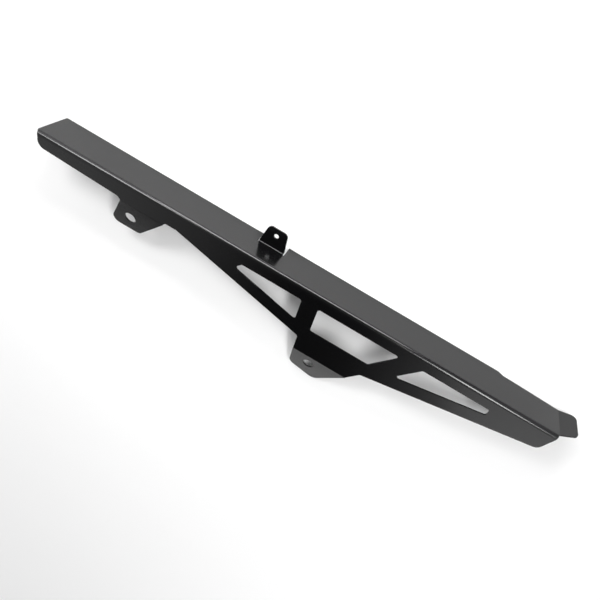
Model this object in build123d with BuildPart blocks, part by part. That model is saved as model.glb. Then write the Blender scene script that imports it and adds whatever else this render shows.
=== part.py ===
from build123d import *

import os
from math import atan2, cos, degrees, radians, sin, sqrt, tan

# Sheet and its bends
sheet = 1.5
fold_radius = 3.0
tab_radius = 1.5
lip_bend = 22.0
edge_corner = 1.5

# Stations along the long fold, from the rear end forwards
rear_hole_x = 107.15
mid_hole_x = 329.65
upper_tab_x = 240.75
front_run = 234.8
rear_inset = 2.9
front_inset = 1.1

# Flange over the chain
flange_width = 43.8
front_width = 38.3
step_drop = 2.6
step_run = 5.2
step_from_front = 68.7

# Lip turned up at the front end of the flange
lip_reach = 16.4
lip_taper = 2.9
lip_near_corner = 4.5
lip_far_corner = 7.0

# Tab standing up from the flange
upper_fold = 30.0
upper_base = 27.1
upper_top = 20.3
upper_height = 21.2
upper_corner = 5.0
upper_hole = 5.0
upper_hole_height = 13.5
slit_width = 1.0
slit_depth = 1.0

# Side panel
rear_depth = 14.4
rear_lean = 8.0
rear_corner = 8.0
shoulder_depth = 18.05
shoulder_gap = 11.6
mid_fold_depth = 71.5
front_depth = 24.5
front_lean = 15.3
front_corner = 8.0

# Rear tab under the panel, placed from its hole
tab_hole = 12.0
rear_bend = 16.3
rear_neck = 2.95
rear_root_run = 2.4
rear_root_fillet = 6.0
rear_base_back = 11.6
rear_base_ahead = 35.5
rear_hole_drop = 17.3
rear_reach = 33.4
rear_tab_corner = 7.0
rear_corner_back = 12.0
rear_corner_ahead = 7.6

# Middle tab under the panel, placed from its hole
mid_bend = 18.8
mid_neck_back = 23.75
mid_neck_ahead = 49.3
mid_neck_rear = 16.5
mid_neck_front = 13.3
neck_fillet = 3.0
mid_hole_drop = 13.8
mid_reach = 36.1
mid_rear_reach = 30.8
mid_tab_corner = 9.0
mid_corner_back = 10.6
mid_corner_ahead = 8.4

# Three windows in the panel and the struts between them
rim_top = 13.75
rim_rear = 12.9
rim_front = 13.9
tab_land = 29.3
rear_nose = 7.0
rear_nose_lean = 42.0
front_nose = 7.77
rear_strut = 17.8
front_strut = 19.2
rear_strut_lean = 6.8
front_strut_lean = 37.8
window_back = 19.1
window_ahead = 71.2
window_corner = 2.5

# Derived places
length = mid_hole_x + front_run
outer_radius = fold_radius + sheet
lip_setback = tab_radius * tan(radians(lip_bend / 2))
front = length - lip_setback
rear_setback = (tab_radius + sheet) * tan(radians(rear_bend / 2))
mid_setback = (tab_radius + sheet) * tan(radians(mid_bend / 2))
rear_fold_depth = shoulder_depth + rear_neck
rear_slope_of_strut = tan(radians(rear_strut_lean))
front_slope_of_strut = tan(radians(front_strut_lean))

# Panel outline, as depths below the long fold
rear_base = rear_hole_x - rear_base_back
rear_base_end = rear_hole_x + rear_base_ahead
rear_tab_end = rear_base_end + rear_neck * front_slope_of_strut
shoulder_x = rear_tab_end + shoulder_gap
rear_neck_x = mid_hole_x - mid_neck_back
rear_neck_depth = mid_fold_depth - mid_neck_rear
front_neck_x = mid_hole_x + mid_neck_ahead
front_neck_depth = mid_fold_depth - mid_neck_front
rear_foot_x = rear_inset + (rear_depth - outer_radius) * tan(radians(rear_lean))
front_top_x = front - front_inset
front_foot_x = front_top_x - (front_depth - outer_radius) * tan(radians(front_lean))
mid_base = rear_neck_x + mid_neck_rear * rear_slope_of_strut
mid_base_end = front_neck_x - mid_neck_front * front_slope_of_strut
rear_slope = (rear_neck_depth - shoulder_depth) / (rear_neck_x - shoulder_x)
front_slope = (front_neck_depth - front_depth) / (front_foot_x - front_neck_x)

# Window corners, from the same slopes
rear_rim_drop = rim_rear / cos(atan2(rear_slope, 1))
front_rim_drop = rim_front / cos(atan2(front_slope, 1))
land_depth = mid_fold_depth - tab_land
mid_rear_x = mid_hole_x - window_back
mid_front_x = mid_hole_x + window_ahead
rear_front_x = mid_rear_x - rear_strut / cos(radians(rear_strut_lean))
front_rear_x = mid_front_x + front_strut / cos(radians(front_strut_lean))


def rear_rim(x):
    """Depth of the rear window's lower edge at x."""
    return shoulder_depth + rear_slope * (x - shoulder_x) - rear_rim_drop


def front_rim(x):
    """Depth of the front window's lower edge at x."""
    return front_neck_depth - front_slope * (x - front_neck_x) - front_rim_drop


rear_nose_x = shoulder_x + (rim_top + rear_nose + rear_rim_drop - shoulder_depth) / rear_slope
front_nose_x = front_neck_x + (front_neck_depth - front_rim_drop - rim_top - front_nose) / front_slope
rear_low_x = rear_front_x + (rear_rim(rear_front_x) - rim_top) / (1 / rear_slope_of_strut - rear_slope)
front_low_x = front_rear_x - (front_rim(front_rear_x) - rim_top) / (1 / front_slope_of_strut - front_slope)

# Planes of the sheet's outer faces where it is bent
rear_tab_normal = (0, -cos(radians(rear_bend)), -sin(radians(rear_bend)))
mid_tab_normal = (0, -cos(radians(mid_bend)), -sin(radians(mid_bend)))
rear_tab_plane = Plane((0, 0, -rear_fold_depth), x_dir=(1, 0, 0), z_dir=rear_tab_normal)
mid_tab_plane = Plane((0, 0, -mid_fold_depth), x_dir=(1, 0, 0), z_dir=mid_tab_normal)
rear_bend_axis = Axis((0, sheet + tab_radius, rear_setback - rear_fold_depth), (1, 0, 0))
mid_bend_axis = Axis((0, sheet + tab_radius, mid_setback - mid_fold_depth), (1, 0, 0))
lip_direction = (cos(radians(lip_bend)), 0, sin(radians(lip_bend)))
lip_plane = Plane((length, 0, 0), x_dir=lip_direction, z_dir=(-lip_direction[2], 0, lip_direction[0]))
upper_root = upper_fold - tab_radius
gap_width = upper_base + 2 * slit_width
fold_end_plane = Plane((0, 0, 0), x_dir=(1, 0, 0), z_dir=(0, -1, 1))
fold_rise = outer_radius / sqrt(2)

with BuildPart() as folded:
    # Long fold, with both ends cut on the slant from the flange's ends in to the panel's
    with BuildSketch(Plane.YZ):
        with BuildLine():
            outer = CenterArc((outer_radius, -outer_radius), outer_radius, 90, 90)
            inner = CenterArc((outer_radius, -outer_radius), fold_radius, 90, 90)
            Line(outer @ 0, inner @ 0)
            Line(outer @ 1, inner @ 1)
        make_face()
    extrude(amount=front)
    with BuildSketch(fold_end_plane):
        for end_x, inset_x in ((0, rear_inset), (front, front_top_x)):
            with BuildLine():
                Polyline((end_x, fold_rise), (inset_x, -fold_rise), (end_x, -fold_rise), close=True)
            make_face()
    extrude(amount=outer_radius, both=True, mode=Mode.SUBTRACT)

    # Flange, with the gap that the standing tab was cut from
    with BuildSketch(Plane.XY) as flange_outline:
        with BuildLine():
            Polyline(
                (0, outer_radius),
                (front, outer_radius),
                (front, front_width),
                (length - step_from_front + step_run, flange_width - step_drop),
                (length - step_from_front, flange_width),
                (0, flange_width),
                close=True,
            )
        make_face()
        fillet(flange_outline.vertices().sort_by_distance((0, flange_width))[0], edge_corner)
        with Locations((upper_tab_x, upper_root - slit_depth)):
            Rectangle(gap_width, flange_width, align=(Align.CENTER, Align.MIN), mode=Mode.SUBTRACT)
            Rectangle(upper_base, slit_depth, align=(Align.CENTER, Align.MIN))
    extrude(amount=-sheet)

    # Side panel with its three windows
    with BuildSketch(Plane.XZ) as panel_outline:
        with BuildLine():
            Polyline(
                (rear_inset, -outer_radius),
                (rear_foot_x, -rear_depth),
                (rear_base - rear_root_run, -shoulder_depth),
                (rear_base, rear_setback - rear_fold_depth),
                (rear_base_end, rear_setback - rear_fold_depth),
                (rear_tab_end, -shoulder_depth),
                (shoulder_x, -shoulder_depth),
                (rear_neck_x, -rear_neck_depth),
                (mid_base, mid_setback - mid_fold_depth),
                (mid_base_end, mid_setback - mid_fold_depth),
                (front_neck_x, -front_neck_depth),
                (front_foot_x, -front_depth),
                (front_top_x, -outer_radius),
                close=True,
            )
        make_face()
        for corner, radius in (
            ((rear_foot_x, -rear_depth), rear_corner),
            ((rear_base - rear_root_run, -shoulder_depth), rear_root_fillet),
            ((rear_neck_x, -rear_neck_depth), neck_fillet),
            ((front_neck_x, -front_neck_depth), neck_fillet),
            ((front_foot_x, -front_depth), front_corner),
        ):
            fillet(panel_outline.vertices().sort_by_distance(corner)[0], radius)
    extrude(amount=-sheet)
    with BuildSketch(Plane.XZ) as windows:
        with BuildLine():
            Polyline(
                (rear_nose_x + rear_nose * tan(radians(rear_nose_lean)), -rim_top),
                (rear_nose_x, -rim_top - rear_nose),
                (rear_low_x, -rear_rim(rear_low_x)),
                (rear_front_x, -rim_top),
                close=True,
            )
        make_face()
        with BuildLine():
            Polyline(
                (mid_rear_x, -rim_top),
                (mid_rear_x + (land_depth - rim_top) * rear_slope_of_strut, -land_depth),
                (mid_front_x - (land_depth - rim_top) * front_slope_of_strut, -land_depth),
                (mid_front_x, -rim_top),
                close=True,
            )
        make_face()
        with BuildLine():
            Polyline(
                (front_rear_x, -rim_top),
                (front_low_x, -front_rim(front_low_x)),
                (front_nose_x, -rim_top - front_nose),
                (front_nose_x, -rim_top),
                close=True,
            )
        make_face()
        fillet(windows.vertices(), window_corner)
    extrude(amount=-sheet, mode=Mode.SUBTRACT)

    # Rear tab, bent in under the panel
    with BuildSketch(Plane.XY.offset(rear_setback - rear_fold_depth)):
        with Locations((rear_base, 0)):
            Rectangle(rear_base_end - rear_base, sheet, align=(Align.MIN, Align.MIN))
    revolve(axis=rear_bend_axis, revolution_arc=rear_bend)
    with BuildSketch(rear_tab_plane):
        with BuildLine():
            Line((rear_base, -rear_setback), (rear_base_end, -rear_setback))
        with Locations(
            (rear_hole_x - rear_corner_back, rear_tab_corner - rear_reach),
            (rear_hole_x + rear_corner_ahead, rear_tab_corner - rear_reach),
        ):
            Circle(rear_tab_corner)
        make_hull()
        with Locations((rear_hole_x, -rear_hole_drop)):
            Circle(tab_hole / 2, mode=Mode.SUBTRACT)
    extrude(amount=-sheet)

    # Middle tab, bent in a little further
    with BuildSketch(Plane.XY.offset(mid_setback - mid_fold_depth)):
        with Locations((mid_base, 0)):
            Rectangle(mid_base_end - mid_base, sheet, align=(Align.MIN, Align.MIN))
    revolve(axis=mid_bend_axis, revolution_arc=mid_bend)
    with BuildSketch(mid_tab_plane):
        with BuildLine():
            Line((mid_base, -mid_setback), (mid_base_end, -mid_setback))
        with Locations(
            (mid_hole_x - mid_corner_back, mid_tab_corner - mid_rear_reach),
            (mid_hole_x + mid_corner_ahead, mid_tab_corner - mid_reach),
        ):
            Circle(mid_tab_corner)
        make_hull()
        with Locations((mid_hole_x, -mid_hole_drop)):
            Circle(tab_hole / 2, mode=Mode.SUBTRACT)
    extrude(amount=-sheet)

    # Upper tab, bent square to the flange
    with BuildSketch(Plane.XZ.offset(-upper_root)):
        with Locations((upper_tab_x, 0)):
            Rectangle(upper_base, sheet, align=(Align.CENTER, Align.MAX))
    revolve(axis=Axis((0, upper_root, tab_radius), (1, 0, 0)), revolution_arc=90)
    with BuildSketch(Plane.XZ.offset(-upper_fold)) as upper_outline:
        with BuildLine():
            Polyline(
                (upper_tab_x - upper_base / 2, tab_radius),
                (upper_tab_x + upper_base / 2, tab_radius),
                (upper_tab_x + upper_top / 2, upper_height),
                (upper_tab_x - upper_top / 2, upper_height),
                close=True,
            )
        make_face()
        fillet(upper_outline.vertices().group_by(Axis.Y)[-1], upper_corner)
        with Locations((upper_tab_x, upper_hole_height)):
            Circle(upper_hole / 2, mode=Mode.SUBTRACT)
    extrude(amount=-sheet)

    # Lip at the front end of the flange, turned up
    with BuildSketch(Plane.YZ.offset(front)):
        with Locations((outer_radius, 0)):
            Rectangle(front_width - outer_radius, sheet, align=(Align.MIN, Align.MAX))
    revolve(axis=Axis((front, 0, tab_radius), (0, -1, 0)), revolution_arc=lip_bend)
    with BuildSketch(lip_plane) as lip_outline:
        with BuildLine():
            Polyline(
                (lip_setback, outer_radius),
                (lip_reach, outer_radius + lip_taper),
                (lip_reach, front_width - lip_taper),
                (lip_setback, front_width),
                close=True,
            )
        make_face()
        fillet(lip_outline.vertices().sort_by_distance((lip_reach, outer_radius))[0], lip_near_corner)
        fillet(lip_outline.vertices().sort_by_distance((lip_reach, front_width))[0], lip_far_corner)
    extrude(amount=-sheet)

# The guard lies as it comes to rest, on the flange's far edge and the tip of the middle tab
tab_tip = mid_tab_plane.from_local_coords((0, -mid_reach, -sheet))
rest_angle = degrees(atan2(-sheet - tab_tip.Z, flange_width - tab_tip.Y))
lying = folded.part.rotate(Axis.X, -rest_angle)
box = lying.bounding_box()

with BuildPart() as chain_guard:
    with Locations((-box.center().X, -box.center().Y, -box.min.Z)):
        add(lying)

chain_guard.part.label = "chain_guard"
os.makedirs("parts", exist_ok=True)
export_step(chain_guard.part, "parts/chain_guard.step")
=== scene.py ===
from math import pi, radians

import bpy
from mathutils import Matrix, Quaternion, Vector

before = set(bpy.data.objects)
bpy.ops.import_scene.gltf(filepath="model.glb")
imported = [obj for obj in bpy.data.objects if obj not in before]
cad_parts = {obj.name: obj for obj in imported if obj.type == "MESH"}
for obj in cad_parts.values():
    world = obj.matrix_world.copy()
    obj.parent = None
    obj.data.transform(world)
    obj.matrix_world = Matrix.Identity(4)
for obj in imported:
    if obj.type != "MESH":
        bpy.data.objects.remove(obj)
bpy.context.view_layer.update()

# Chain guard
# One laser-cut sheet of 1.5 mm steel, bent on a press brake into flange, side panel, tabs and
# lip. Its black powder is baked on in one satin coat, finely grained over a faint ripple.
coat_black = (0.0018, 0.0018, 0.0021, 1)
grain_black = (0.0030, 0.0030, 0.0033, 1)
lowest_roughness = 0.14
highest_roughness = 0.22
grain_size = 0.0009
grain_detail = 3
grain_height = 0.000025
ripple_size = 0.004
ripple_detail = 1
ripple_height = 0.000008

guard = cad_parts["chain_guard"]
coat = bpy.data.materials.new("black_powder_coat")
coat.use_nodes = True
coat_nodes = coat.node_tree.nodes
coat_links = coat.node_tree.links
surface = coat_nodes["Principled BSDF"]
place = coat_nodes.new("ShaderNodeTexCoord")


def coat_texture(size, detail):
    """Add a noise whose lumps are about as wide as size, and give its output."""
    texture = coat_nodes.new("ShaderNodeTexNoise")
    texture.inputs["Scale"].default_value = 1 / size
    texture.inputs["Detail"].default_value = detail
    coat_links.new(place.outputs["Object"], texture.inputs["Vector"])
    return texture.outputs["Fac"]


def coat_bump(texture, height):
    """Add a bump that raises the coat by height where the texture is palest."""
    bump = coat_nodes.new("ShaderNodeBump")
    bump.inputs["Distance"].default_value = height
    coat_links.new(texture, bump.inputs["Height"])
    return bump


grain = coat_texture(grain_size, grain_detail)
ripple = coat_texture(ripple_size, ripple_detail)

colour = coat_nodes.new("ShaderNodeMix")
colour.data_type = "RGBA"
colour.inputs["A"].default_value = coat_black
colour.inputs["B"].default_value = grain_black
coat_links.new(grain, colour.inputs["Factor"])
coat_links.new(colour.outputs["Result"], surface.inputs["Base Color"])

gloss = coat_nodes.new("ShaderNodeMapRange")
gloss.inputs["To Min"].default_value = lowest_roughness
gloss.inputs["To Max"].default_value = highest_roughness
coat_links.new(grain, gloss.inputs["Value"])
coat_links.new(gloss.outputs["Result"], surface.inputs["Roughness"])

ripple_bump = coat_bump(ripple, ripple_height)
grain_bump = coat_bump(grain, grain_height)
coat_links.new(ripple_bump.outputs["Normal"], grain_bump.inputs["Normal"])
coat_links.new(grain_bump.outputs["Normal"], surface.inputs["Normal"])

guard.data.materials.clear()
guard.data.materials.append(coat)

# Floor
# A wide sheet of plain matt white paper, which the guard lies on.
floor_size = 1.5
paper_white = (0.85, 0.85, 0.85, 1)
paper_roughness = 0.9

bpy.ops.mesh.primitive_plane_add(size=floor_size)
floor = bpy.context.object
floor.name = "floor"
paper = bpy.data.materials.new("white_paper")
paper.use_nodes = True
paper_surface = paper.node_tree.nodes["Principled BSDF"]
paper_surface.inputs["Base Color"].default_value = paper_white
paper_surface.inputs["Roughness"].default_value = paper_roughness
floor.data.materials.append(paper)

# Studio room
# The eye sees a plain white backdrop, and the coat mirrors a room that is pale at both ends of
# the guard, dark across its middle, and darkest low behind the panel, where a black cloth hangs.
backdrop_white = (1, 1, 1, 1)
# Pairs of lean and paleness: -1 is straight out from the guard's rear end, and 1 from the lip
room_shades = (
    (-1.0, 0.10),
    (-0.7, 0.58),
    (-0.45, 0.65),
    (-0.25, 0.33),
    (-0.1, 0.0),
    (0.1, 0.0),
    (0.22, 0.35),
    (0.4, 0.90),
    (0.7, 0.10),
)
# Pairs of height and paleness: 0 is the horizon, and 1 straight up
cloth_shades = (
    (0.02, 0.75),
    (0.1, 0.0),
    (0.36, 0.0),
    (0.46, 1.0),
)
cloth_full = -0.3
cloth_edge = -0.05

room = bpy.data.worlds.new("studio_room")
room.use_nodes = True
room_nodes = room.node_tree.nodes
room_links = room.node_tree.links
outlook = room_nodes.new("ShaderNodeTexCoord")
bearing = room_nodes.new("ShaderNodeSeparateXYZ")
room_links.new(outlook.outputs["Generated"], bearing.inputs["Vector"])


def shade_ramp(source, shades):
    """Turn source into greys, with one stop for each pair of position and level."""
    ramp = room_nodes.new("ShaderNodeValToRGB")
    stops = ramp.color_ramp.elements
    while len(stops) < len(shades):
        stops.new(position=1)
    for stop, (position, level) in zip(stops, shades):
        stop.position = position
        stop.color = (level, level, level, 1)
    room_links.new(source, ramp.inputs["Fac"])
    return ramp.outputs["Color"]


along = room_nodes.new("ShaderNodeMapRange")
along.inputs["From Min"].default_value = -1
along.inputs["From Max"].default_value = 1
room_links.new(bearing.outputs["X"], along.inputs["Value"])
room_stops = [((lean + 1) / 2, level) for lean, level in room_shades]
room_shade = shade_ramp(along.outputs["Result"], room_stops)

behind = room_nodes.new("ShaderNodeMapRange")
behind.interpolation_type = "SMOOTHSTEP"
behind.inputs["From Min"].default_value = cloth_full
behind.inputs["From Max"].default_value = cloth_edge
room_links.new(bearing.outputs["Y"], behind.inputs["Value"])
cloth_shade = shade_ramp(bearing.outputs["Z"], cloth_shades)
cloth = room_nodes.new("ShaderNodeMath")
cloth.operation = "MAXIMUM"
room_links.new(cloth_shade, cloth.inputs[0])
room_links.new(behind.outputs["Result"], cloth.inputs[1])

room_light = room_nodes["Background"]
room_links.new(room_shade, room_light.inputs["Color"])
room_links.new(cloth.outputs["Value"], room_light.inputs["Strength"])
backdrop = room_nodes.new("ShaderNodeBackground")
backdrop.inputs["Color"].default_value = backdrop_white
sight = room_nodes.new("ShaderNodeLightPath")
seen = room_nodes.new("ShaderNodeMixShader")
room_links.new(sight.outputs["Is Camera Ray"], seen.inputs["Fac"])
room_links.new(room_light.outputs["Background"], seen.inputs[1])
room_links.new(backdrop.outputs["Background"], seen.inputs[2])
room_links.new(seen.outputs["Shader"], room_nodes["World Output"].inputs["Surface"])
bpy.context.scene.world = room

# Studio lights
# Two fabric soft boxes hang over the guard, a low strip light stands beyond the flange, and
# pale cards stand round it.
guard_middle = Vector((0, 0, 0.02))


def soft_box(name, direction, distance, width, height, brightness):
    """A flat rectangular light that faces the guard; brightness is its radiance."""
    lamp = bpy.data.lights.new(name, "AREA")
    lamp.shape = "RECTANGLE"
    lamp.size = width
    lamp.size_y = height
    lamp.energy = brightness * pi * width * height
    box = bpy.data.objects.new(name, lamp)
    bpy.context.scene.collection.objects.link(box)
    toward = Vector(direction).normalized()
    box.location = guard_middle + toward * distance
    box.rotation_euler = (-toward).to_track_quat("-Z", "Y").to_euler()
    box.visible_camera = False


soft_box("left_soft_box", (-0.57, 0.50, 0.67), distance=1.1, width=0.46, height=0.26, brightness=13.0)
soft_box("right_soft_box", (0.45, 0.20, 0.86), distance=1.1, width=0.52, height=0.20, brightness=17.5)
soft_box("low_strip", (-0.13, 0.90, 0.42), distance=0.4, width=0.46, height=0.11, brightness=11.5)
soft_box("high_card", (0.0, 0.62, 0.78), distance=1.4, width=1.5, height=0.5, brightness=0.3)
soft_box("left_card", (-0.55, 0.78, 0.28), distance=0.8, width=0.60, height=0.30, brightness=1.6)
soft_box("right_card", (0.62, -0.62, 0.48), distance=1.2, width=0.62, height=0.70, brightness=0.65)
soft_box("back_left_card", (-0.75, -0.62, 0.22), distance=1.2, width=0.70, height=0.30, brightness=4.0)
soft_box("back_right_card", (0.65, -0.73, 0.20), distance=1.2, width=0.80, height=0.30, brightness=7.0)

# Camera
# It looks down on the guard from the flange's side, turned so that the lip is at the lower right.
eye = Vector((0.0219, 0.2086, 0.5111))
aim = Vector((0.0219, 0.0190, 0.0))
roll = radians(-149.55)
lens = 32.4
sideways = -0.0425

view = bpy.data.cameras.new("camera")
view.lens = lens
view.shift_x = sideways
camera = bpy.data.objects.new("camera", view)
bpy.context.scene.collection.objects.link(camera)
camera.location = eye
turn = (aim - eye).to_track_quat("-Z", "Y") @ Quaternion((0, 0, 1), roll)
camera.rotation_euler = turn.to_euler()
bpy.context.scene.camera = camera

bpy.context.scene.view_settings.view_transform = "Standard"
